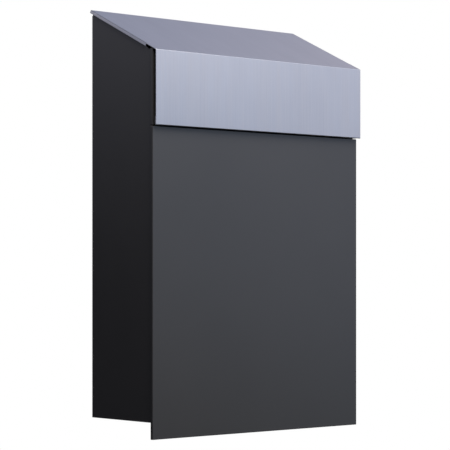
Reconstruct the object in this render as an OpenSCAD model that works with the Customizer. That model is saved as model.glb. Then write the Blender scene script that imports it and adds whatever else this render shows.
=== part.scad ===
// Wall mounted mailbox: a folded steel casing, a brushed lid that lifts at the back, a front
// door that drops down, and a cam lock in the fixed front behind the lid's flap.
//
// Heights (h) are counted from the door's lower edge. Y is 0 at the wall and falls towards
// the front. The whole model is then lowered, so that the origin is the middle of the four
// wall holes, on the wall's surface.

/* [Casing] */
// Width of the door and of the fixed front above it
front_w = 310; // [290:1:330]
// Height from the door's lower edge to the lid's rear edge
total_h = 470; // [460:1:500]
// Depth of the folded body
body_d = 104; // [100:1:120]
// How far each side of the body stands in from the front's edge
side_inset = 1.4; // [1.2:0.1:2]
// Thickness of the painted steel sheet
sheet = 1; // [0.8:0.1:1.2]
// How far the door hangs below the body
overhang = 18; // [17:0.5:22]
// Width of the inward return on each front edge of the body
jamb_w = 12; // [10:1:14]
// Outer radius of the body's folded corners
fold_r = 1.3; // [1.3:0.1:2]
// Diameter of the drain holes in the floor
drain_d = 5; // [3:0.5:8]

/* [Wall fixing] */
// Distance between the wall holes, side to side
hole_dx = 220; // [160:5:240]
// Distance between the wall holes, top to bottom
hole_dz = 280; // [200:5:280]
// Height of the middle of the four holes above the door's lower edge
hole_mid_h = 250; // [245:1:270]
// Diameter of the wall holes
hole_d = 7; // [5:0.5:8]
// Thickness of the rubber spacers behind the body
wall_gap = 4; // [4:0.5:6]
// Diameter of the rubber spacers
spacer_d = 20; // [16:1:26]

/* [Front door] */
// Height of the door
door_h = 335.5; // [330:0.5:340]
// Depth of the door's folded edges
door_t = 3.5; // [3:0.1:4]
// Gap between the door's edges and the body
front_gap = 0.5; // [0.4:0.1:0.8]
// Open seam between the door and the fixed front
seam = 1; // [0.8:0.1:2]
// Depth of the pressed pan behind the door's skin
pan_depth = 15; // [12:1:18]
// Thickness of the pressed pan
pan_t = 0.8; // [0.6:0.1:1]

/* [Lid] */
// Thickness of the brushed stainless sheet
lid_t = 0.8; // [0.6:0.1:1]
// Slope of the lid's top
roof_angle = 25; // [22:0.5:28]
// Overall width of the lid
lid_w = 310.6; // [310.4:0.1:311]
// Height of the flap that hangs in front
flap_h = 80.8; // [76:0.2:82]
// Depth of the gap behind the flap
flap_gap = 5.5; // [5:0.1:8]
// Height of the side lips, square to the slope
lip_h = 3.4; // [3:0.1:5]
// Length of the relief between the bend and the side lips
lip_relief = 18.2; // [12:0.2:24]
// Height of the hem folded up behind the flap's lower edge
hem_h = 9; // [6:0.5:12]

/* [Mail slot] */
// Length of the slot
slot_w = 265; // [230:1:270]
// Width of the slot, along the slope
slot_d = 36; // [30:1:40]
// Distance of the slot's front edge from the lid's bend, along the slope
slot_start = 40; // [38:0.5:44]

/* [Lock] */
// Height of the lock's axis above the door's lower edge
lock_h = 372; // [368:1:376]
// Reach of the cam from the lock's axis to its tip
cam_reach = 45; // [43:0.5:47]
// Width of the cam
cam_w = 14; // [12:0.5:16]
// Diameter of the lock's threaded housing
housing_d = 16; // [15:0.5:18]
// Diameter of the turning plug
plug_d = 11; // [10:0.5:12]

/* [Hidden] */
$fn = 48;

// Colours
anthracite = [0.20, 0.21, 0.23];
brushed_steel = [0.68, 0.70, 0.76];
zinc = [0.60, 0.61, 0.62];
chrome = [0.80, 0.80, 0.82];
black_rubber = [0.06, 0.06, 0.06];

// Depths, from the wall forward
body_back_y = -wall_gap;
body_front_y = body_back_y - body_d;
door_back_y = body_front_y - front_gap;
face_y = door_back_y - door_t;
flap_back_y = face_y - flap_gap;
lid_front_y = flap_back_y - lid_t;
// The lid's rear edge stands a little in front of the body's back
lid_rear_y = body_back_y - 0.4;
jamb_back_y = body_front_y + sheet;
inner_back_y = body_back_y - sheet;
skin_back_y = face_y + sheet;

// Widths
body_w = front_w - 2 * side_inset;
inner_w = body_w - 2 * sheet;
mouth_w = body_w - 2 * jamb_w;
// The parts that stand between the two jambs keep this gap on each side
jamb_gap = 0.4;

// Heights
bend_h = total_h - (lid_rear_y - lid_front_y) * tan(roof_angle);
header_h0 = door_h + seam;
slope_len = (lid_rear_y - lid_front_y) / cos(roof_angle);
// The fixed front stops this far below the underside of the closed lid
lid_clear = 0.6;
header_h1 = bend_h + (face_y - lid_front_y) * tan(roof_angle) - lid_t / cos(roof_angle) - lid_clear;
floor_h = overhang + sheet;
// Height of the upturned edges of the floor
floor_edge = 12;

// Hinges: two piano hinges with an odd number of knuckles, so that both halves are symmetric
knuckles = 13;
hinge_len = 273;
knuckle_pitch = hinge_len / knuckles;
knuckle_gap = 0.5;
knuckle_r = 2.2;
pin_r = 1.2;
// Radial clearance of the pin in the turning knuckles and in the fixed ones
turning_fit = 0.05;
fixed_fit = 0.02;
leaf_t = 0.8;
leaf_w = 17;
// Free room between a knuckle and the sheet beside it
knuckle_clear = 0.3;
// Distance from a pin's axis to the sheet that its leaf is fixed to
pin_off = knuckle_r + knuckle_clear;

// Roof: how far the sheets lie below the lid's top face, square to the slope
side_drop = 2.9;
tray_drop = lid_t + 2 * pin_off;
// The lid's pin stands this far in front of the lid's rear edge, along the slope
lid_pin_inset = 4.5;
lid_pin_s = slope_len - lid_pin_inset;
lid_pin_drop = lid_t + pin_off;
lid_pin_y = lid_front_y + lid_pin_s * cos(roof_angle) + lid_pin_drop * sin(roof_angle);
lid_pin_h = bend_h + lid_pin_s * sin(roof_angle) - lid_pin_drop * cos(roof_angle);
// Top of the back sheet: the open lid comes to rest against it
back_top_h = lid_pin_h - 1.6;

// Door hinge, in the corner below the body and behind the door's overhang
flange_back_y = skin_back_y + pan_t;
door_pin_y = flange_back_y + pin_off;
door_pin_h = overhang - pin_off;
rail_reach = 10;
door_leaf_reach = 12;

// Pan pressed into the door
pan_back_y = skin_back_y + pan_depth;
pan_edge = 23;
pan_low_h = 34;
pan_high_h = 318;
pan_corner_r = 8;
pan_flange_edge = 2;
pan_w = front_w - 2 * pan_edge;

// Lock
housing_r = housing_d / 2;
plug_r = plug_d / 2;
gasket_t = 0.5;
head_t = 2.4;
head_r = 11;
head_back_y = face_y - gasket_t;
head_front_y = head_back_y - head_t;
cam_t = 1.5;
cam_front_y = pan_back_y + 2.4;
cam_back_y = cam_front_y + cam_t;
housing_back_y = cam_front_y - 0.4;
plug_front_y = head_front_y - 0.2;
tail_w = 6;
bolt_r = 2;
nut_t = 3;
nut_r = 12.4;
catch_t = 1.5;
// Free travel between the turned cam and the catch
catch_play = 1.5;
lip_front_y = cam_back_y + catch_play;
lip_top_h = door_h - 2;
shield_y = cam_back_y + 8;

// Rivets
rivet_r = 1.6;
rivet_fit = 0.05;
rivet_head_r = 3.2;
rivet_head_h = 1.1;
rivet_tail_r = 2.4;
rivet_tail_h = 1;

// Places of what repeats, as distances from the middle or heights
side_signs = [-1, 1];
rail_rivet_x = [for (i = [-2.5 : 2.5]) i * 2 * knuckle_pitch];
header_rivet_h = [350, 395];
header_rivet_x = mouth_w / 2 + jamb_w / 2;
tray_rivet_x = [-100, 0, 100];
tray_rivet_front_h = header_h1 - 7;
tray_rivet_back_h = back_top_h - 9;
tray_edge = 15;
shield_rivet_x = [-110, 0, 110];
shield_rivet_s = 28;
catch_rivet_x = [-13, 13];
catch_rivet_h = 305;
buffer_r = 4.5;
lid_buffer_x = 138;
lid_buffer_s = 24;
door_buffer_x = 147;
door_buffer_h = [60, 290];
stop_buffer_x = 125;

// Lowers a shape so that the middle of the wall holes comes to height 0
module at_origin() translate([0, 0, -hole_mid_h]) children();

// Frame on the lid's top face: X across, Y up the slope from the bend, Z square to the slope
module on_slope() translate([0, lid_front_y, bend_h]) rotate([roof_angle, 0, 0]) children();

// Extrudes an outline drawn in (Y, height) across the width w
module across(w) rotate([90, 0, 90]) linear_extrude(w, center = true) children();

// Extrudes an outline drawn in (X, height) from depth y0 to depth y1
module deep(y0, y1) translate([0, y1, 0]) rotate([90, 0, 0]) linear_extrude(y1 - y0) children();

// Cylinder along Y, from depth y0 to depth y1
module rod_y(x, h, r, y0, y1) translate([x, y0, h]) rotate([-90, 0, 0]) cylinder(r = r, h = y1 - y0);

// Block centred on X, from the low to the high (Y, height) corner
module slab(w, y0, y1, h0, h1) translate([-w / 2, y0, h0]) cube([w, y1 - y0, h1 - h0]);

// The same block on both sides, from distance x0 to distance x1 of the middle
module side_slabs(x0, x1, y0, y1, h0, h1)
    for (side = side_signs)
        translate([side * (x0 + x1) / 2, 0, 0]) slab(x1 - x0, y0, y1, h0, h1);

// Rectangle with round corners, from corner (x0, y0) to corner (x1, y1)
module round_rect(x0, y0, x1, y1, r) {
    translate([x0 + r, y0]) square([x1 - x0 - 2 * r, y1 - y0]);
    translate([x0, y0 + r]) square([x1 - x0, y1 - y0 - 2 * r]);
    for (x = [x0 + r, x1 - r], y = [y0 + r, y1 - r])
        translate([x, y]) circle(r);
}

// Points of an arc about centre c, from angle a0 to angle a1
function arc(c, r, a0, a1, steps = 8) = [
    for (i = [0 : steps])
        let (a = a0 + (a1 - a0) * i / steps)
        c + r * [cos(a), sin(a)]
];

// Height of the sheet line that lies a given drop below the lid's top face, at depth y
function slope_h(y, drop) = bend_h + (y - lid_front_y) * tan(roof_angle) - drop / cos(roof_angle);

// Domed rivet along Z: head on Z = 0, tail below the sheets that it joins
module rivet(grip) {
    dome_r = (rivet_head_r ^ 2 + rivet_head_h ^ 2) / (2 * rivet_head_h);
    intersection() {
        translate([0, 0, rivet_head_h - dome_r]) sphere(dome_r);
        cylinder(r = rivet_head_r, h = rivet_head_h);
    }
    translate([0, 0, -grip]) cylinder(r = rivet_r, h = grip + rivet_head_h / 2);
    translate([0, 0, -grip - rivet_tail_h]) cylinder(r = rivet_tail_r, h = rivet_tail_h);
}

// Hole along Z that a rivet passes, through the sheets on both sides of Z = 0
module rivet_hole() cylinder(r = rivet_r + rivet_fit, h = 5, center = true);

// Rivets with their heads towards the wall, set along Y at depth y
module place_y(x, y, h) translate([x, y, h]) rotate([-90, 0, 0]) children();

// One half of a piano hinge about the X axis. Its leaf runs towards -Y, from height z0.
// mine is 0 for the half that owns the outer knuckles, and 1 for the other half.
module hinge_half(mine, z0, reach, fit) {
    difference() {
        union() {
            translate([-hinge_len / 2, -reach, z0]) cube([hinge_len, reach, leaf_t]);
            for (i = [mine : 2 : knuckles - 1])
                translate([(i + 0.5) * knuckle_pitch - hinge_len / 2, 0, 0])
                    rotate([0, 90, 0])
                        cylinder(r = knuckle_r, h = knuckle_pitch - knuckle_gap, center = true);
        }
        rotate([0, 90, 0]) cylinder(r = pin_r + fit, h = hinge_len + 2, center = true);
        for (i = [1 - mine : 2 : knuckles - 1])
            translate([(i + 0.5) * knuckle_pitch - hinge_len / 2, 0, 0])
                cube([knuckle_pitch + knuckle_gap, 2 * pin_off + 1, 4 * pin_off], center = true);
    }
}

// Frames of the two hinge pins
module at_lid_pin() translate([0, lid_pin_y, lid_pin_h]) rotate([roof_angle, 0, 0]) children();
module at_door_pin() translate([0, door_pin_y, door_pin_h]) children();

// Pin of a piano hinge, peened into a small head at each end
module hinge_pin() {
    rotate([0, 90, 0]) cylinder(r = pin_r, h = hinge_len, center = true);
    for (side = side_signs)
        translate([side * (hinge_len / 2 + 0.6), 0, 0])
            rotate([0, 90, 0]) cylinder(r = knuckle_r - 0.4, h = 1.2, center = true);
}

// Folded steel sheet with short edges turned back on all four sides: door and fixed front
module front_pan(h0, h1, back_y) {
    slab(front_w, face_y, skin_back_y, h0, h1);
    side_slabs(front_w / 2 - sheet, front_w / 2, face_y, back_y, h0, h1);
    slab(front_w, face_y, back_y, h0, h0 + sheet);
    slab(front_w, face_y, back_y, h1 - sheet, h1);
}

// Casing: back and both sides folded from one sheet, with a return along each front edge.
// Each side's top edge starts level with the fixed front, then rises to the slope.
module body_shell() {
    level_end_y = body_front_y + 4;
    rise_end_y = body_front_y + 10;
    color(anthracite) at_origin() difference() {
        translate([0, 0, overhang]) linear_extrude(total_h - overhang) difference() {
            round_rect(-body_w / 2, body_front_y, body_w / 2, body_back_y, fold_r);
            round_rect(-inner_w / 2, jamb_back_y, inner_w / 2, inner_back_y, fold_r - sheet);
            translate([-mouth_w / 2, body_front_y - 1]) square([mouth_w, sheet + 2]);
        }
        on_slope() translate([-front_w / 2, -slope_len, -side_drop])
            cube([front_w, 3 * slope_len, slope_len]);
        across(front_w) polygon([
            [body_front_y - 1, header_h1],
            [level_end_y, header_h1],
            [rise_end_y, slope_h(rise_end_y, side_drop)],
            [rise_end_y, total_h],
            [body_front_y - 1, total_h]
        ]);
        slab(front_w, lid_pin_y + 1.2, 0, back_top_h, total_h);
        for (x = side_signs * hole_dx / 2, z = side_signs * hole_dz / 2)
            rod_y(x, hole_mid_h + z, hole_d / 2, inner_back_y - 1, 0);
        for (x = side_signs * header_rivet_x, h = header_rivet_h)
            place_y(x, body_front_y, h) rivet_hole();
        for (x = tray_rivet_x)
            place_y(x, body_back_y, tray_rivet_back_h) rivet_hole();
    }
}

// Floor with upturned edges, drained at its four corners
module bottom_panel() {
    corner_gap = 3;
    edge_top_h = overhang + floor_edge;
    sill_w = mouth_w - 2 * jamb_gap;
    color(anthracite) at_origin() difference() {
        union() {
            translate([0, 0, overhang]) linear_extrude(sheet)
                round_rect(-inner_w / 2, jamb_back_y, inner_w / 2, inner_back_y, fold_r);
            slab(sill_w, body_front_y, jamb_back_y + sheet, overhang, floor_h);
            slab(sill_w, body_front_y, jamb_back_y, overhang, edge_top_h);
            slab(inner_w - 2 * corner_gap, inner_back_y - sheet, inner_back_y, overhang, edge_top_h);
            side_slabs(inner_w / 2 - sheet, inner_w / 2, jamb_back_y + corner_gap,
                       inner_back_y - corner_gap, overhang, edge_top_h);
        }
        for (x = side_signs * 0.42 * inner_w, y = [jamb_back_y + 24, inner_back_y - 14])
            translate([x, y, overhang - 1]) cylinder(d = drain_d, h = sheet + 2);
        for (x = rail_rivet_x)
            translate([x, door_pin_y + rail_reach - 4, overhang]) rivet_hole();
    }
}

// Fixed front above the door, which carries the lock
module header_panel() {
    flange_h = 14;
    color(anthracite) at_origin() difference() {
        union() {
            front_pan(header_h0, header_h1, body_front_y);
            side_slabs(mouth_w / 2 + jamb_gap, front_w / 2, body_front_y - sheet, body_front_y,
                       header_h0, header_h1);
            slab(mouth_w - 2 * jamb_gap, face_y, jamb_back_y, header_h1 - sheet, header_h1);
            slab(mouth_w - 2 * jamb_gap, body_front_y, jamb_back_y, header_h1 - flange_h, header_h1);
        }
        rod_y(0, lock_h, housing_r + 0.1, face_y - 1, skin_back_y + 1);
        for (x = side_signs * header_rivet_x, h = header_rivet_h)
            place_y(x, body_front_y, h) rivet_hole();
        for (x = tray_rivet_x)
            place_y(x, body_front_y, tray_rivet_front_h) rivet_hole();
    }
}

// Rivets that hold the fixed front on the body's jambs, set from inside the box
module header_rivets() {
    color(zinc) at_origin()
        for (x = side_signs * header_rivet_x, h = header_rivet_h)
            place_y(x, jamb_back_y, h) rivet(2 * sheet);
}

// Sloping inner roof with the mail slot, a tray hung between the sides
module slot_panel() {
    front_y = jamb_back_y;
    under = tray_drop + sheet;
    edge_inset = 20;
    color(anthracite) at_origin() difference() {
        union() {
            intersection() {
                across(inner_w) polygon([
                    [front_y, slope_h(front_y, tray_drop)],
                    [inner_back_y, slope_h(inner_back_y, tray_drop)],
                    [inner_back_y, slope_h(inner_back_y, tray_drop) - tray_edge],
                    [inner_back_y - sheet, slope_h(inner_back_y, tray_drop) - tray_edge],
                    [inner_back_y - sheet, slope_h(inner_back_y - sheet, under)],
                    [front_y + sheet, slope_h(front_y + sheet, under)],
                    [front_y + sheet, header_h1 - tray_edge],
                    [front_y, header_h1 - tray_edge]
                ]);
                translate([0, 0, header_h0]) linear_extrude(total_h - header_h0)
                    round_rect(-inner_w / 2, jamb_back_y, inner_w / 2, inner_back_y, fold_r);
            }
            on_slope() side_slabs(inner_w / 2 - sheet, inner_w / 2, edge_inset,
                                  slope_len - edge_inset, -tray_drop - floor_edge, -tray_drop);
        }
        on_slope() translate([0, 0, -tray_drop - sheet - 1]) linear_extrude(sheet + 2)
            round_rect(-slot_w / 2, slot_start, slot_w / 2, slot_start + slot_d, 4);
        for (x = tray_rivet_x) {
            place_y(x, front_y, tray_rivet_front_h) rivet_hole();
            place_y(x, inner_back_y, tray_rivet_back_h) rivet_hole();
        }
        for (x = shield_rivet_x)
            on_slope() translate([x, shield_rivet_s, -tray_drop]) rivet_hole();
        for (x = rail_rivet_x)
            on_slope() translate([x, lid_pin_s - leaf_w + 5, -tray_drop]) rivet_hole();
    }
}

// Rivets at the slot panel's front and back edges, with their heads inside the box
module slot_panel_rivets() {
    color(zinc) at_origin() for (x = tray_rivet_x) {
        place_y(x, jamb_back_y + sheet, tray_rivet_front_h) rivet(2 * sheet);
        translate([x, inner_back_y - sheet, tray_rivet_back_h]) rotate([90, 0, 0]) rivet(2 * sheet);
    }
}

// Bent plate under the slot that keeps the mail off the lock and hands off the mail
module lock_shield() {
    low_h = lip_top_h + 7;
    top_s = shield_rivet_s - 6;
    drop = tray_drop + sheet;
    top_y = lid_front_y + top_s * cos(roof_angle) + drop * sin(roof_angle);
    color(zinc) at_origin() difference() {
        across(slot_w + 16) polygon([
            [top_y, slope_h(top_y, drop)],
            [shield_y + sheet, slope_h(shield_y + sheet, drop)],
            [shield_y + sheet, low_h],
            [shield_y, low_h],
            [shield_y, slope_h(shield_y, drop + sheet)],
            [top_y, slope_h(top_y, drop + sheet)]
        ]);
        for (x = shield_rivet_x)
            on_slope() translate([x, shield_rivet_s, -drop]) rivet_hole();
    }
}

// Rivets between the slot panel and the shield
module shield_rivets() {
    color(zinc) at_origin()
        for (x = shield_rivet_x)
            on_slope() translate([x, shield_rivet_s, -tray_drop]) rivet(2 * sheet);
}

// Rubber discs that hold the box off the wall, round the four wall screws
module wall_spacers() {
    color(black_rubber) at_origin()
        for (x = side_signs * hole_dx / 2, z = side_signs * hole_dz / 2)
            difference() {
                rod_y(x, hole_mid_h + z, spacer_d / 2, body_back_y, 0);
                rod_y(x, hole_mid_h + z, hole_d / 2, body_back_y - 1, 1);
            }
}

// Lid: sloping top and hanging flap from one sheet, with a short lip down each side.
// The outline is drawn in the slope's own frame, with the corner of the bend at its origin.
module lid_panel() {
    bend_r = 1.4;
    turn = 90 - roof_angle;
    centre = [bend_r * tan(turn / 2), -bend_r];
    down = [-sin(roof_angle), -cos(roof_angle)];
    inward = [cos(roof_angle), -sin(roof_angle)];
    color(brushed_steel) at_origin() on_slope() {
        across(lid_w) polygon(concat(
            [[slope_len, 0], [slope_len, -lid_t]],
            arc(centre, bend_r - lid_t, 90, 90 + turn),
            [
                (flap_h - hem_h) * down + lid_t * inward,
                (flap_h - hem_h) * down + 2 * lid_t * inward,
                flap_h * down + 2 * lid_t * inward,
                flap_h * down
            ],
            arc(centre, bend_r, 90 + turn, 90)
        ));
        side_slabs(lid_w / 2 - lid_t, lid_w / 2, lip_relief, slope_len, -lip_h, 0);
    }
}

// Hinge leaf welded under the lid
module lid_hinge_leaf() {
    color(brushed_steel) at_origin() at_lid_pin() hinge_half(1, pin_off - leaf_t, leaf_w, turning_fit);
}

// Hinge leaf riveted on the slot panel
module lid_hinge_rail() {
    color(zinc) at_origin() difference() {
        at_lid_pin() hinge_half(0, -pin_off, leaf_w, fixed_fit);
        for (x = rail_rivet_x)
            on_slope() translate([x, lid_pin_s - leaf_w + 5, -tray_drop]) rivet_hole();
    }
}

// Rivets of the lid's hinge, with flat heads that clear the closed lid
module lid_rail_rivets() {
    color(zinc) at_origin()
        for (x = rail_rivet_x)
            on_slope() translate([x, lid_pin_s - leaf_w + 5, leaf_t - tray_drop]) rivet(leaf_t + sheet);
}

// Pin of the lid's hinge
module lid_hinge_pin() {
    color(zinc) at_origin() at_lid_pin() hinge_pin();
}

// Rubber stops under the lid's front corners
module lid_buffers() {
    rest_gap = 0.1;
    color(black_rubber) at_origin() on_slope()
        for (x = side_signs * lid_buffer_x)
            translate([x, lid_buffer_s, -tray_drop])
                cylinder(r = buffer_r, h = tray_drop - lid_t - rest_gap);
}

// Door: folded steel skin
module door_panel() {
    color(anthracite) at_origin() front_pan(0, door_h, door_back_y);
}

// Pressed pan that stiffens the door, welded inside its skin
module door_inner_pan() {
    flange_w = front_w - 2 * sheet - 1;
    flange_low_h = sheet + pan_flange_edge;
    flange_high_h = door_h - sheet - pan_flange_edge;
    color(anthracite) at_origin() difference() {
        union() {
            slab(flange_w, skin_back_y, flange_back_y, flange_low_h, flange_high_h);
            deep(skin_back_y, pan_back_y)
                round_rect(-pan_w / 2, pan_low_h, pan_w / 2, pan_high_h, pan_corner_r);
        }
        deep(skin_back_y - 1, pan_back_y - pan_t)
            round_rect(pan_t - pan_w / 2, pan_low_h + pan_t, pan_w / 2 - pan_t, pan_high_h - pan_t,
                       pan_corner_r - pan_t);
        for (x = catch_rivet_x)
            place_y(x, pan_back_y, catch_rivet_h) rivet_hole();
    }
}

// Hinge leaf welded low on the door's inner pan, its leaf running down
module door_hinge_leaf() {
    color(zinc) at_origin() at_door_pin() rotate([90, 0, 0])
        hinge_half(1, pin_off - leaf_t, door_leaf_reach, turning_fit);
}

// Hinge leaf riveted under the floor, its leaf running back
module door_hinge_rail() {
    color(zinc) at_origin() difference() {
        at_door_pin() mirror([0, 1, 0]) hinge_half(0, pin_off - leaf_t, rail_reach, fixed_fit);
        for (x = rail_rivet_x)
            translate([x, door_pin_y + rail_reach - 4, overhang]) rivet_hole();
    }
}

// Rivets of the door's hinge, with their heads below
module door_rail_rivets() {
    color(zinc) at_origin()
        for (x = rail_rivet_x)
            translate([x, door_pin_y + rail_reach - 4, overhang - leaf_t])
                mirror([0, 0, 1]) rivet(leaf_t + sheet);
}

// Pin of the door's hinge
module door_hinge_pin() {
    color(zinc) at_origin() at_door_pin() hinge_pin();
}

// Rubber buffers between the door's flange and the jambs
module door_buffers() {
    rest_gap = 0.2;
    color(black_rubber) at_origin()
        for (x = side_signs * door_buffer_x, h = door_buffer_h)
            rod_y(x, h, buffer_r, flange_back_y, body_front_y - rest_gap);
}

// Rubber stops under the floor that the door's overhang meets when it is open
module door_stop_buffers() {
    rest_gap = 0.2;
    stop_h = door_pin_h - (door_pin_y - door_back_y) + rest_gap;
    stop_y = door_pin_y + door_pin_h - sheet / 2;
    color(black_rubber) at_origin()
        for (x = side_signs * stop_buffer_x)
            translate([x, stop_y, stop_h]) cylinder(r = buffer_r, h = overhang - stop_h);
}

// Bracket on the door that the turned cam holds
module door_catch() {
    catch_w = 40;
    base_h = 26;
    shelf_h = pan_high_h - 1;
    color(zinc) at_origin() difference() {
        union() {
            slab(catch_w, pan_back_y, pan_back_y + catch_t, shelf_h - base_h, shelf_h);
            slab(catch_w, pan_back_y, lip_front_y + catch_t, shelf_h - catch_t, shelf_h);
            slab(catch_w, lip_front_y, lip_front_y + catch_t, shelf_h - catch_t, lip_top_h);
        }
        for (x = catch_rivet_x)
            place_y(x, pan_back_y, catch_rivet_h) rivet_hole();
    }
}

// Rivets of the catch
module catch_rivets() {
    color(zinc) at_origin()
        for (x = catch_rivet_x)
            place_y(x, pan_back_y + catch_t, catch_rivet_h) rivet(catch_t + pan_t);
}

// Fixed, threaded housing of the cam lock, with a round head
module lock_housing() {
    flat_w = housing_d - 2.5;
    color(chrome) at_origin() difference() {
        union() {
            rod_y(0, lock_h, head_r, head_front_y, head_back_y);
            intersection() {
                rod_y(0, lock_h, housing_r, head_front_y, housing_back_y);
                slab(flat_w, head_front_y, housing_back_y, lock_h - housing_r, lock_h + housing_r);
            }
        }
        rod_y(0, lock_h, plug_r + turning_fit, head_front_y - 1, housing_back_y + 1);
    }
}

// Washer between the lock's head and the fixed front
module lock_gasket() {
    color(black_rubber) at_origin() difference() {
        rod_y(0, lock_h, head_r - 0.3, head_back_y, face_y);
        rod_y(0, lock_h, housing_r + 0.1, head_back_y - 1, face_y + 1);
    }
}

// Hexagon nut behind the fixed front
module lock_nut() {
    color(zinc) at_origin() difference() {
        translate([0, skin_back_y, lock_h]) rotate([-90, 0, 0]) cylinder(r = nut_r, h = nut_t, $fn = 6);
        rod_y(0, lock_h, housing_r + 0.05, skin_back_y - 1, skin_back_y + nut_t + 1);
    }
}

// Plug that the key turns, with its keyway in front and a square tail behind
module lock_plug() {
    keyway = [1.8, 10, 7.5];
    color(chrome) at_origin() difference() {
        union() {
            rod_y(0, lock_h, plug_r, plug_front_y, cam_front_y);
            slab(tail_w, cam_front_y, cam_back_y - 0.1, lock_h - tail_w / 2, lock_h + tail_w / 2);
        }
        translate([0, plug_front_y, lock_h]) cube(keyway + [0, keyway[1], 0], center = true);
        rod_y(0, lock_h, bolt_r + turning_fit, cam_front_y - 7, cam_back_y + 1);
    }
}

// Cam: points sideways when the lock is open, and down behind the catch when it is shut
module lock_cam() {
    tip_r = cam_w / 2;
    hub_r = 9;
    tail_gap = 0.1;
    color(zinc) at_origin() difference() {
        translate([0, 0, lock_h]) deep(cam_front_y, cam_back_y) {
            circle(hub_r);
            translate([0, -tip_r]) square([cam_reach - tip_r, cam_w]);
            translate([cam_reach - tip_r, 0]) circle(tip_r);
        }
        slab(tail_w + 2 * tail_gap, cam_front_y - 1, cam_back_y + 1,
             lock_h - tail_w / 2 - tail_gap, lock_h + tail_w / 2 + tail_gap);
    }
}

// Bolt and washer that hold the cam on the plug
module cam_bolt() {
    washer_r = 6.5;
    washer_t = 1;
    bolt_head_r = 4;
    bolt_head_h = 2.8;
    washer_back_y = cam_back_y + washer_t;
    color(zinc) at_origin() union() {
        rod_y(0, lock_h, bolt_r, cam_front_y - 6, washer_back_y);
        rod_y(0, lock_h, washer_r, cam_back_y, washer_back_y);
        translate([0, washer_back_y, lock_h]) rotate([-90, 0, 0])
            cylinder(r = bolt_head_r, h = bolt_head_h, $fn = 6);
    }
}

body_shell();
bottom_panel();
header_panel();
header_rivets();
slot_panel();
slot_panel_rivets();
lock_shield();
shield_rivets();
wall_spacers();
lid_panel();
lid_hinge_leaf();
lid_hinge_rail();
lid_rail_rivets();
lid_hinge_pin();
lid_buffers();
door_panel();
door_inner_pan();
door_hinge_leaf();
door_hinge_rail();
door_rail_rivets();
door_hinge_pin();
door_buffers();
door_stop_buffers();
door_catch();
catch_rivets();
lock_housing();
lock_gasket();
lock_nut();
lock_plug();
lock_cam();
cam_bolt();
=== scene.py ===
import math

import bmesh
import bpy
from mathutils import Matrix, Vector


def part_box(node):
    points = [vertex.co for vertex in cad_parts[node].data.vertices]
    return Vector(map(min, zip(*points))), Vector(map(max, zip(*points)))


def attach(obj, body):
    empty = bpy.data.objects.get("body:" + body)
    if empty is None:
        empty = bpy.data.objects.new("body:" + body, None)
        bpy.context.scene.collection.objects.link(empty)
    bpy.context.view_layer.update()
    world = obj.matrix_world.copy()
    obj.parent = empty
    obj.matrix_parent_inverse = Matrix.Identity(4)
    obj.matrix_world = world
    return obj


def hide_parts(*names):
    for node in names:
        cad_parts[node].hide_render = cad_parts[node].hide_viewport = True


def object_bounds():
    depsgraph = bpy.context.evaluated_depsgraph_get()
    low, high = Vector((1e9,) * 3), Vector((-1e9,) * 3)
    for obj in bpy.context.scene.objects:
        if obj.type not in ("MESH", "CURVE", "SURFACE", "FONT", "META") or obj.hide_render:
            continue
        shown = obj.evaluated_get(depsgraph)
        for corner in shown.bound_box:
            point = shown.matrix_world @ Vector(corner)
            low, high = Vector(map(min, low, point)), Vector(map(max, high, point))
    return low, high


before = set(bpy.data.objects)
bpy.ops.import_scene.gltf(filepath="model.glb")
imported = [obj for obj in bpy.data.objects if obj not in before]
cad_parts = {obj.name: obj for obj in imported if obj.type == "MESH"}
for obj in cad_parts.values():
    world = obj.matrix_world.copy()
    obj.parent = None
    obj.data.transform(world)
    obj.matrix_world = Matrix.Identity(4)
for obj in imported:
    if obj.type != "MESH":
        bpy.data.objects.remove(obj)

cad_lo, cad_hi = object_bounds()

MM = 0.001
ROOF_ANGLE = math.radians(25)


# ---------------------------------------------------------------- materials

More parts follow.
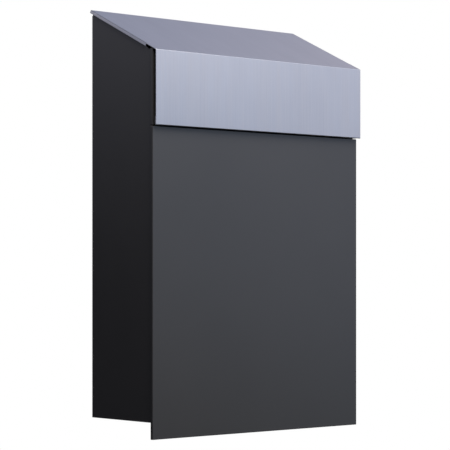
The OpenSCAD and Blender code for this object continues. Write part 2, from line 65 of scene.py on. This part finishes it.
class Shader:
    """A material's node tree, with short calls for the nodes that every finish here uses."""

    def __init__(self, name, **values):
        self.material = bpy.data.materials.new(name)
        self.material.use_nodes = True
        self.tree = self.material.node_tree
        self.bsdf = self.tree.nodes["Principled BSDF"]
        for socket, value in values.items():
            self.bsdf.inputs[socket.replace("_", " ")].default_value = value
        self.place = self.add("ShaderNodeTexCoord").outputs["Object"]

    def add(self, kind, links=None, inputs=None, **settings):
        """A new node. links joins sockets by name or number, and inputs sets them."""
        node = self.tree.nodes.new(kind)
        for key, value in settings.items():
            setattr(node, key, value)
        for key, value in (inputs or {}).items():
            node.inputs[key].default_value = value
        for key, source in (links or {}).items():
            self.tree.links.new(source, node.inputs[key])
        return node

    def noise(self, stretch, detail=2.0, rough=0.5, seed=0.0):
        """Noise with that many features a metre along X, Y and Z."""
        spot = self.add(
            "ShaderNodeMapping", {"Vector": self.place}, {"Scale": stretch, "Location": (seed, seed, seed)}
        )
        made = self.add(
            "ShaderNodeTexNoise",
            {"Vector": spot.outputs["Vector"]},
            {"Scale": 1.0, "Detail": detail, "Roughness": rough},
        )
        return made.outputs["Fac"]

    def cells(self, size):
        """Cells of that size in metres, each in a colour of its own."""
        made = self.add("ShaderNodeTexVoronoi", {"Vector": self.place}, {"Scale": 1.0 / size})
        return made.outputs["Color"]

    def spread(self, value, low, high, start=0.3, end=0.7):
        """value, where start gives low and end gives high."""
        made = self.add(
            "ShaderNodeMapRange",
            {"Value": value},
            {"From Min": start, "From Max": end, "To Min": low, "To Max": high},
        )
        return made.outputs["Result"]

    def blend(self, factor, first, second, kind="MIX"):
        """Two colours, or a colour and a link, mixed by factor."""
        made = self.add("ShaderNodeMix", data_type="RGBA", blend_type=kind)
        for socket, value in ((0, factor), (6, first), (7, second)):
            if isinstance(value, (tuple, float)):
                made.inputs[socket].default_value = value
            else:
                self.tree.links.new(value, made.inputs[socket])
        return made.outputs[2]

    def bump(self, height, distance, strength, under=None):
        """A normal made by bumps, on top of the normal called under."""
        links = {"Height": height}
        if under is not None:
            links["Normal"] = under
        made = self.add("ShaderNodeBump", links, {"Distance": distance, "Strength": strength})
        return made.outputs["Normal"]

    def set(self, socket, source):
        """Links source to one of the surface's own inputs."""
        self.tree.links.new(source, self.bsdf.inputs[socket])


def make_dark_paint():
    """Anthracite powder coat: fine grain, a faint orange peel and slow changes in tone and gloss."""
    s = Shader("dark_paint", IOR=1.5)
    slow = s.noise((7, 7, 7), 2.0, seed=3.1)
    peel = s.noise((330, 330, 330), 2.0, seed=1.7)
    grain = s.noise((1900, 1900, 1900), 2.0, 0.6, seed=5.3)
    tone = s.blend(s.spread(slow, 0.0, 1.0), (0.036, 0.037, 0.040, 1), (0.040, 0.041, 0.044, 1))
    fleck = s.blend(s.spread(grain, 0.0, 0.3, 0.55, 0.8), tone, (0.050, 0.052, 0.056, 1))
    s.set("Base Color", fleck)
    s.set("Roughness", s.spread(s.noise((45, 45, 45), 3.0), 0.235, 0.275, 0.0, 1.0))
    s.set("Normal", s.bump(grain, 0.012 * MM, 0.25, s.bump(peel, 0.02 * MM, 0.4)))
    return s.material


def make_brushed_stainless():
    """Brushed sheet: the grain runs down the slope and the flap, so gloss spreads across it."""
    s = Shader("brushed_stainless", Metallic=1.0, Anisotropic=0.65)
    fine = s.noise((5200, 16, 16), 3.0, 0.65, seed=2.2)
    broad = s.noise((700, 7, 7), 3.0, 0.6, seed=4.4)
    cloud = s.noise((60, 12, 12), 2.0, seed=8.1)
    base = s.blend(s.spread(broad, 0.0, 1.0), (0.51, 0.515, 0.545, 1), (0.57, 0.575, 0.605, 1))
    base = s.blend(s.spread(fine, 0.0, 0.35), base, (0.45, 0.455, 0.48, 1))
    base = s.blend(s.spread(cloud, 0.0, 0.3), base, (0.59, 0.60, 0.63, 1))
    s.set("Base Color", base)
    s.set("Roughness", s.spread(broad, 0.29, 0.37))
    s.set("Normal", s.bump(fine, 0.004 * MM, 0.5))
    s.set("Tangent", s.add("ShaderNodeTangent", direction_type="UV_MAP", uv_map="grain").outputs[0])
    return s.material


def make_zinc_steel():
    """Zinc plated sheet and small parts: faint crystals, and a satin gloss that changes a little."""
    s = Shader("zinc_steel", Metallic=1.0)
    crystals = s.cells(4.5 * MM)
    wisps = s.noise((160, 160, 160), 3.0, 0.6)
    tone = s.blend(0.12, (0.55, 0.56, 0.57, 1), crystals, "SOFT_LIGHT")
    s.set("Base Color", s.blend(s.spread(wisps, 0.0, 0.5), tone, (0.47, 0.48, 0.50, 1)))
    s.set("Roughness", s.spread(wisps, 0.32, 0.46))
    s.set("Normal", s.bump(s.noise((1200, 1200, 1200), 2.0), 0.01 * MM, 0.4))
    return s.material


def make_black_rubber():
    """Moulded rubber with a fine matt skin and a little dust."""
    s = Shader("black_rubber", IOR=1.5)
    skin = s.noise((1500, 1500, 1500), 3.0, 0.6)
    dust = s.noise((120, 120, 120), 3.0)
    tone = s.blend(s.spread(dust, 0.0, 0.6), (0.016, 0.016, 0.017, 1), (0.034, 0.034, 0.034, 1))
    s.set("Base Color", tone)
    s.set("Roughness", s.spread(dust, 0.62, 0.82))
    s.set("Normal", s.bump(skin, 0.02 * MM, 0.7))
    return s.material


def make_lock_chrome():
    """Nickel plated lock: bright, with fine turning marks round its axis."""
    s = Shader("lock_chrome", Metallic=1.0)
    wear = s.noise((400, 400, 400), 3.0)
    tone = s.blend(s.spread(wear, 0.0, 0.5), (0.72, 0.72, 0.74, 1), (0.63, 0.63, 0.65, 1))
    s.set("Base Color", tone)
    s.set("Roughness", s.spread(wear, 0.12, 0.24))
    s.set("Normal", s.bump(s.noise((2600, 200, 2600), 2.0), 0.005 * MM, 0.4))
    return s.material


FINISHES = {
    "dark_paint": make_dark_paint(),
    "brushed_stainless": make_brushed_stainless(),
    "zinc_steel": make_zinc_steel(),
    "black_rubber": make_black_rubber(),
    "lock_chrome": make_lock_chrome(),
}


# ---------------------------------------------------------------- mesh helpers

def new_piece(name, mesh, finish, body, *stands_for):
    """A visible piece in one of the finishes, and it rides on a CAD body."""
    piece = bpy.data.objects.new(name, mesh)
    bpy.context.scene.collection.objects.link(piece)
    mesh.materials.append(FINISHES[finish])
    mesh.shade_smooth()
    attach(piece, body)
    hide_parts(*stands_for)
    return piece


def weld(piece, distance):
    """Joins points of a CAD mesh that lie closer together than distance."""
    piece.modifiers.new("weld", "WELD").merge_threshold = distance


def flatten(piece):
    """Keeps the flat faces of a smooth piece flat."""
    piece.modifiers.new("normals", "WEIGHTED_NORMAL").keep_sharp = False


def soften(piece, width):
    """Rounds the sharp edges of a piece a little, and keeps its flat faces flat."""
    bevel = piece.modifiers.new("bevel", "BEVEL")
    bevel.width = width
    bevel.segments = 2
    bevel.limit_method = "ANGLE"
    bevel.angle_limit = math.radians(35)
    bevel.use_clamp_overlap = True
    bevel.harden_normals = False
    flatten(piece)


def rect_ring(half_x, z0, z1, radius, y):
    """Points round a rectangle with round corners, square to Y."""
    steps = 5
    corners = (
        (half_x - radius, z1 - radius),
        (radius - half_x, z1 - radius),
        (radius - half_x, z0 + radius),
        (half_x - radius, z0 + radius),
    )
    return [
        Vector((
            x + radius * math.cos(math.pi / 2 * (turn + i / steps)),
            y,
            z + radius * math.sin(math.pi / 2 * (turn + i / steps)),
        ))
        for turn, (x, z) in enumerate(corners)
        for i in range(steps + 1)
    ]


def arc_profile(inset, y, radius, start, end, steps=4):
    """(inset, y) points of an arc about a centre. Angle 0 points inwards and 90 along +Y."""
    return [
        (
            inset + radius * math.cos(math.radians(start + (end - start) * i / steps)),
            y + radius * math.sin(math.radians(start + (end - start) * i / steps)),
        )
        for i in range(steps + 1)
    ]


def close_rings(bm, rings):
    """Faces between one ring of vertices and the next, and a cap on the first and the last ring."""
    for first, second in zip(rings, rings[1:]):
        for i, vertex in enumerate(first):
            j = (i + 1) % len(first)
            bm.faces.new((vertex, first[j], second[j], second[i]))
    bm.faces.new(rings[0])
    bm.faces.new(rings[-1])


def ring_mesh(name, rings):
    """A closed mesh through rings of points, with its normals turned outwards."""
    bm = bmesh.new()
    close_rings(bm, [[bm.verts.new(p) for p in ring] for ring in rings])
    bmesh.ops.recalc_face_normals(bm, faces=bm.faces)
    mesh = bpy.data.meshes.new(name)
    bm.to_mesh(mesh)
    bm.free()
    return mesh


# ---------------------------------------------------------------- door

def make_door_skin():
    """Folded skin of the door: rounded folds, welded corners and a thin rim all round the back."""
    lo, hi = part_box("door_panel")
    sheet, fold, rim, inner = 1.0 * MM, 0.5 * MM, 0.25 * MM, 0.3 * MM
    corner, least = 0.7 * MM, 0.15 * MM
    profile = [(sheet + inner, lo.y + sheet)]
    profile += arc_profile(sheet + inner, lo.y + sheet + inner, inner, 270, 180)[1:]
    profile += arc_profile(sheet - rim, hi.y - rim, rim, 0, 90)
    profile += arc_profile(rim, hi.y - rim, rim, 90, 180)
    profile += arc_profile(fold, lo.y + fold, fold, 180, 270, 8)
    rings = [
        rect_ring(hi.x - inset, lo.z + inset, hi.z - inset, max(corner - inset, least), y)
        for inset, y in profile
    ]
    mesh = ring_mesh("door_skin", rings)
    flatten(new_piece("door_skin", mesh, "dark_paint", "door", "door_panel"))


def make_door_pan():
    """Pressed pan inside the door: a flat flange, a drafted wall with rounded bends and a flat floor."""
    lo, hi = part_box("door_inner_pan")
    sheet, bend, edge = 0.8 * MM, 3.0 * MM, 0.2 * MM
    wall, draft = 21.5 * MM, 1.5 * MM
    flange_corner, floor_corner = 3.0 * MM, 10.0 * MM
    # the pressing's lower and upper walls stand this much higher than the inset alone gives
    lower_rise, upper_rise = 10.5 * MM, 8.0 * MM
    low, high = lo.y + sheet, hi.y
    profile = [(wall + draft + bend, high)]
    profile += arc_profile(wall + draft + bend, high - bend, bend, 90, 180, 6)[1:]
    profile += arc_profile(wall - bend, low + bend, bend, 360, 270, 6)
    profile += arc_profile(edge, low - edge, edge, 90, 180, 2)
    profile += arc_profile(edge, lo.y + edge, edge, 180, 270, 2)
    profile += arc_profile(wall - bend, lo.y + bend + sheet, bend + sheet, 270, 360, 6)
    profile += arc_profile(wall + draft + bend, high - bend, bend - sheet, 180, 90, 6)
    rings = []
    for inset, y in profile:
        share = min(max((inset - wall + bend) / bend, 0), 1)
        radius = flange_corner + (floor_corner - flange_corner) * share
        z0 = lo.z + inset + share * lower_rise
        z1 = hi.z - inset + share * upper_rise
        rings.append(rect_ring(hi.x - inset, z0, z1, radius, y))
    mesh = ring_mesh("door_pan", rings)
    flatten(new_piece("door_pan", mesh, "dark_paint", "door", "door_inner_pan"))


# ---------------------------------------------------------------- lid

FLAP_H = 80.8 * MM
LID_SHEET = 0.8 * MM
BEND_R = 1.0 * MM
HEM_R = 0.83 * MM
HEM_H = 9.0 * MM
HEM_STEPS = 10
LIP_H = 3.4 * MM
LIP_R = 0.9 * MM
LIP_STEPS = 4
LIP_RELIEF = 18.2 * MM
FLAT_STEPS = 6
BEND_STEPS = 8


def lid_outline(lo, hi):
    """Points (y, z) of the lid's outer face, from the hem's inner edge to the rear edge of the slope.

    Also gives the row where the side lips start.
    """
    points = [(lo.y + 2 * HEM_R, lo.z + HEM_H)]
    for i in range(HEM_STEPS + 1):
        a = -math.pi * i / HEM_STEPS
        points.append((lo.y + HEM_R + HEM_R * math.cos(a), lo.z + HEM_R + HEM_R * math.sin(a)))
    turn = math.pi / 2 - ROOF_ANGLE
    reach = BEND_R * math.tan(turn / 2)
    bend_z = lo.z + FLAP_H
    for i in range(1, FLAT_STEPS):
        points.append((lo.y, lo.z + HEM_R + (FLAP_H - reach - HEM_R) * i / FLAT_STEPS))
    for i in range(BEND_STEPS + 1):
        a = math.pi - turn * i / BEND_STEPS
        points.append((lo.y + BEND_R + BEND_R * math.cos(a), bend_z - reach + BEND_R * math.sin(a)))
    slope = (hi.z - bend_z) / math.sin(ROOF_ANGLE)
    lip_row = len(points)
    for i in range(FLAT_STEPS + 1):
        s = LIP_RELIEF + (slope - LIP_RELIEF) * i / FLAT_STEPS
        points.append((lo.y + s * math.cos(ROOF_ANGLE), bend_z + s * math.sin(ROOF_ANGLE)))
    return points, lip_row


def lip_fold():
    """Points (out, drop) of a side lip's fold and straight edge, and their widths as laid flat."""
    turns = [math.pi / 2 * k / LIP_STEPS for k in range(1, LIP_STEPS + 1)]
    fold = [(LIP_R * math.sin(a), LIP_R * (1 - math.cos(a)), LIP_R * a) for a in turns]
    return fold + [(LIP_R, LIP_H, LIP_R * math.pi / 2 + LIP_H - LIP_R)]


def make_lid_skin():
    """Lid bent from one sheet: hemmed flap, bend, sloping top and a folded lip down each side.

    Each vertex goes with its place (across, along) on the flat sheet, for the brushed grain.
    """
    lo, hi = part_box("lid_panel")
    outline, lip_row = lid_outline(lo, hi)
    inward = Vector((0, math.sin(ROOF_ANGLE), -math.cos(ROOF_ANGLE)))
    flat_x = hi.x - LIP_R
    columns = [flat_x * (i / FLAT_STEPS - 1) for i in range(2 * FLAT_STEPS + 1)]
    bm = bmesh.new()
    grain = bm.loops.layers.uv.new("grain")
    run = 0.0
    rows, runs = [], []
    for i, (y, z) in enumerate(outline):
        if i:
            run += math.dist(outline[i - 1], (y, z))
        runs.append(run)
        rows.append([bm.verts.new((x, y, z)) for x in columns])

    def strip(first, second):
        """Faces between two columns of vertices, given from the flap up to the rear edge."""
        for (v, a0), (w, b0), (v1, a1), (w1, b1) in zip(first, second, first[1:], second[1:]):
            face = bm.faces.new((v, w, w1, v1))
            for loop, uv in zip(face.loops, (a0, b0, b1, a1)):
                loop[grain].uv = uv

    def column(index, row0=0, row1=len(outline)):
        return [(rows[r][index], (columns[index], runs[r])) for r in range(row0, row1)]

    for i in range(len(columns) - 1):
        strip(column(i), column(i + 1))
    for side, index in ((-1, 0), (1, len(columns) - 1)):
        edge = [
            (bm.verts.new((side * hi.x, *outline[r])), (side * hi.x, runs[r]))
            for r in range(lip_row + 1)
        ]
        inner = column(index, 0, lip_row + 1)
        strip(*((edge, inner) if side < 0 else (inner, edge)))
        before = column(index, lip_row)
        for out, drop, width in lip_fold():
            after = []
            for r in range(lip_row, len(rows)):
                spot = Vector((side * (flat_x + out), *outline[r])) + inward * drop
                after.append((bm.verts.new(spot), (side * (flat_x + width), runs[r])))
            strip(*((after, before) if side < 0 else (before, after)))
            before = after
    mesh = bpy.data.meshes.new("lid_skin")
    bm.normal_update()
    bm.to_mesh(mesh)
    bm.free()
    lid = new_piece("lid_skin", mesh, "brushed_stainless", "lid", "lid_panel")
    thick = lid.modifiers.new("thickness", "SOLIDIFY")
    thick.thickness = LID_SHEET
    thick.offset = -1
    thick.use_even_offset = True
    soften(lid, 0.15 * MM)


make_door_skin()
make_door_pan()
make_lid_skin()


# ---------------------------------------------------------------- CAD nodes that stay

# width of the softened edges in mm
SOFT_EDGES = {
    "body_shell": 0.22,
    "header_panel": 0.3,
    "bottom_panel": 0.2,
    "slot_panel": 0.2,
    "lock_shield": 0.2,
    "door_catch": 0.25,
    "lid_hinge_leaf": 0.1,
    "lid_hinge_rail": 0.1,
    "door_hinge_leaf": 0.1,
    "door_hinge_rail": 0.1,
    "lock_housing": 0.3,
    "lock_nut": 0.3,
    "lock_plug": 0.2,
    "lock_cam": 0.2,
    "cam_bolt": 0.15,
    "lock_gasket": 0.1,
    "wall_spacers": 0.6,
    "lid_buffers": 0.5,
    "door_buffers": 0.3,
    "door_stop_buffers": 0.5,
}
# every node that isn't listed here is zinc plated steel
NODES_OF_FINISH = {
    "dark_paint": (
        "body_shell", "header_panel", "bottom_panel", "slot_panel", "door_panel", "door_inner_pan",
    ),
    "brushed_stainless": ("lid_panel", "lid_hinge_leaf"),
    "black_rubber": ("wall_spacers", "lid_buffers", "door_buffers", "door_stop_buffers", "lock_gasket"),
    "lock_chrome": ("lock_housing", "lock_plug"),
}
FINISH_OF = {name: finish for finish, names in NODES_OF_FINISH.items() for name in names}

for name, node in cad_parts.items():
    finish = FINISH_OF.get(name, "zinc_steel")
    node.data.materials.clear()
    node.data.materials.append(FINISHES[finish])
    if node.hide_render:
        continue
    if name in SOFT_EDGES:
        weld(node, 0.001 * MM)
        soften(node, SOFT_EDGES[name] * MM)
    else:
        weld(node, 0.002 * MM)


# ---------------------------------------------------------------- camera, lights and stage

# The place, the turn and the shift were fitted to the photograph's straight edges. The lens was then
# made 0.25% longer than the fit's, because the outline came out too narrow.
CAMERA_AZIMUTH = -41.6
CAMERA_AT = (-1.42786, -1.66203, -0.07194)
LENS_MM, SENSOR_MM = 150.3, 36
LENS_SHIFT = 0.107


def make_camera():
    """The photograph's view: level, from the front's left, with a long lens."""
    data = bpy.data.cameras.new("camera")
    data.lens = LENS_MM
    data.sensor_width = SENSOR_MM
    data.shift_y = LENS_SHIFT
    data.clip_end = 50
    camera = bpy.data.objects.new("camera", data)
    bpy.context.scene.collection.objects.link(camera)
    camera.location = CAMERA_AT
    camera.rotation_euler = (math.pi / 2, 0, math.radians(CAMERA_AZIMUTH))
    bpy.context.scene.camera = camera


# The lights were fitted to the tones of this one photograph, apart from the fills among the glows.
# Angles are in degrees, from the front towards +X.
# (azimuth, elevation, distance, side, watts, colour)
SOFTBOXES = {
    "key_box": (-20, 50, 1.2, 0.8, 20.3, (1.0, 0.913, 0.835)),
    "front_box": (20, 30, 1.2, 0.8, 1.13, (1.0, 0.867, 0.779)),
    "back_box": (-150, 35, 1.4, 0.8, 1.15, (1.0, 0.870, 0.878)),
}
# (azimuth, elevation, sharpness, radiance, lower edge or None)
# A lower edge is (height, half its blur, tilt in degrees). The glow fades out below it.
GLOWS = (
    (90, 10, 6, (1.494, 0.831, 0.415), (-0.05, 0.05, 0)),
    (90, 45, 6, (0.145, 0.397, 0.617), None),
    (135, 10, 6, (0.530, 0.532, 0.735), (0.0, 0.05, 0)),
    (-135, 10, 6, (0.502, 0.526, 0.657), (0.10, 0.05, 0)),
    (45, 15, 6, (0.623, 0.447, 0.0), (-0.12, 0.04, 23)),
    (45, 15, 6, (0.0, 0.413, 1.207), (-0.08, 0.04, 23)),
    # fills, for the views that the photograph doesn't show
    (-90, 5, 24, (0.15, 0.15, 0.16), None),
    (175, 0, 40, (0.50, 0.50, 0.53), None),
    (-30, 10, 16, (0.35, 0.36, 0.40), None),
    (0, -90, 6, (0.25, 0.25, 0.26), None),
)
ROOM_LIGHT = (0.005, 0.005, 0.006)


def towards(azimuth, elevation):
    """Unit vector to a place round the object. Azimuth 0 is in front and 90 on the object's right."""
    a, e = math.radians(azimuth), math.radians(elevation)
    return Vector((math.sin(a) * math.cos(e), -math.cos(a) * math.cos(e), math.sin(e)))


def make_world():
    """The studio's walls as soft glows: each is brightest in one direction, some have a lower edge."""
    world = bpy.data.worlds.new("room")
    world.use_nodes = True
    tree = world.node_tree

    def vector_math(operation, *values):
        node = tree.nodes.new("ShaderNodeVectorMath")
        node.operation = operation
        return join(node, values)

    def number_math(operation, *values):
        node = tree.nodes.new("ShaderNodeMath")
        node.operation = operation
        return join(node, values)

    def join(node, values):
        for socket, value in zip(node.inputs, values):
            if isinstance(value, bpy.types.NodeSocket):
                tree.links.new(value, socket)
            else:
                socket.default_value = value
        return node.outputs

    place = tree.nodes.new("ShaderNodeTexCoord").outputs["Generated"]
    ray = vector_math("NORMALIZE", place)["Vector"]
    total = None
    for azimuth, elevation, sharpness, radiance, edge in GLOWS:
        facing = vector_math("DOT_PRODUCT", ray, towards(azimuth, elevation))["Value"]
        glow = number_math("POWER", number_math("MAXIMUM", facing, 0.0)[0], sharpness)[0]
        if edge is not None:
            middle, blur, tilt = edge
            t = math.radians(tilt)
            upright = towards(azimuth + 90, 0) * math.sin(t) + Vector((0, 0, math.cos(t)))
            height = vector_math("DOT_PRODUCT", ray, upright)["Value"]
            fade = tree.nodes.new("ShaderNodeMapRange")
            fade.interpolation_type = "SMOOTHSTEP"
            fade.inputs["From Min"].default_value = middle - blur
            fade.inputs["From Max"].default_value = middle + blur
            tree.links.new(height, fade.inputs["Value"])
            glow = number_math("MULTIPLY", glow, fade.outputs["Result"])[0]
        total = vector_math("MULTIPLY_ADD", glow, radiance, total or ROOM_LIGHT)["Vector"]
    tree.links.new(total, tree.nodes["Background"].inputs["Color"])
    bpy.context.scene.world = world


def make_lights():
    """Soft boxes: a key above the front, and two weak ones, in front and behind on the left."""
    aim = Vector((0, cad_lo.y / 2, 0))
    for name, (azimuth, elevation, distance, side, watts, colour) in SOFTBOXES.items():
        data = bpy.data.lights.new(name, "AREA")
        data.size = side
        data.energy = watts
        data.color = colour
        light = bpy.data.objects.new(name, data)
        bpy.context.scene.collection.objects.link(light)
        away = towards(azimuth, elevation)
        light.location = aim + away * distance
        light.rotation_mode = "QUATERNION"
        light.rotation_quaternion = away.to_track_quat("Z", "Y")


# the studio's outline in metres, as (radius, height)
FLOOR_Z = -2.6
FLOOR_R = 7.0
COVE_R = 1.5
COVE_ANGLES = (0.3, 0.6, 0.9, 1.2, 1.5)
UPPER_WALL = ((8.5, 2.0), (7.5, 5.0), (4.5, 7.0), (0.01, 7.8))
STAGE_SIDES = 48


def make_stage():
    """A plain white studio: a round floor that curves up into the wall and the ceiling.

    Only the camera sees it. The light on the object comes from the world and the soft boxes.
    """
    outline = [(0.01, FLOOR_Z), (FLOOR_R, FLOOR_Z)]
    for a in COVE_ANGLES:
        outline.append((FLOOR_R + COVE_R * math.sin(a), FLOOR_Z + COVE_R * (1 - math.cos(a))))
    outline += UPPER_WALL
    turns = [math.tau * i / STAGE_SIDES for i in range(STAGE_SIDES)]
    bm = bmesh.new()
    rings = [[bm.verts.new((r * math.cos(a), r * math.sin(a), z)) for a in turns] for r, z in outline]
    close_rings(bm, rings)
    mesh = bpy.data.meshes.new("studio")
    bm.to_mesh(mesh)
    bm.free()
    mesh.shade_smooth()
    paper = Shader("white_paper", Specular_IOR_Level=0, Emission_Strength=1.0)
    paper.bsdf.inputs["Base Color"].default_value = (0, 0, 0, 1)
    paper.bsdf.inputs["Emission Color"].default_value = (1, 1, 1, 1)
    mesh.materials.append(paper.material)
    studio = bpy.data.objects.new("studio", mesh)
    bpy.context.scene.collection.objects.link(studio)
    for ray in ("diffuse", "glossy", "transmission", "volume_scatter", "shadow"):
        setattr(studio, "visible_" + ray, False)


make_camera()
make_world()
make_lights()
make_stage()
bpy.context.scene.view_settings.view_transform = "Standard"
